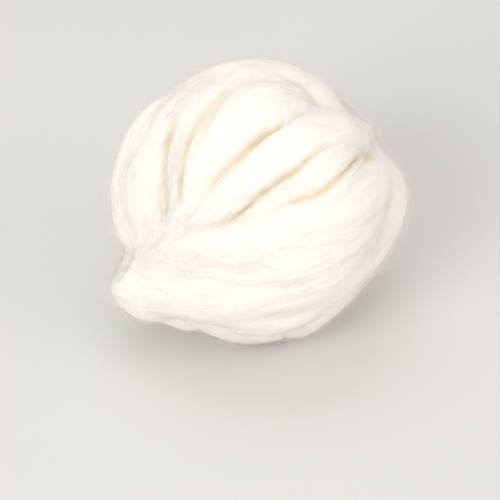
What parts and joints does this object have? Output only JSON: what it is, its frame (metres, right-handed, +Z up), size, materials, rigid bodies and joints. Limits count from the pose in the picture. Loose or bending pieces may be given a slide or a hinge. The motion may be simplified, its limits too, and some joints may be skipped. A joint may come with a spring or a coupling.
{
  "type": "wool roving wound into a ball",
  "caption": "Loose ball of thick cream wool roving whose fat strands fan out from one side and cross over each other, resting on a small flat spot.",
  "frame": {"origin": "centre of the flat spot on which the ball rests", "axes": "+Z up, out of the surface that the ball rests on; the front with the fan of strands faces -Y; +X to the right as seen from the front"},
  "size_m": [0.2425, 0.231, 0.2265],
  "materials": {
    "wool": "undyed combed wool, matt, soft and fuzzy"
  },
  "bodies": {
    "root": {"roving_ball": "wool"}
  },
  "joints": []
}
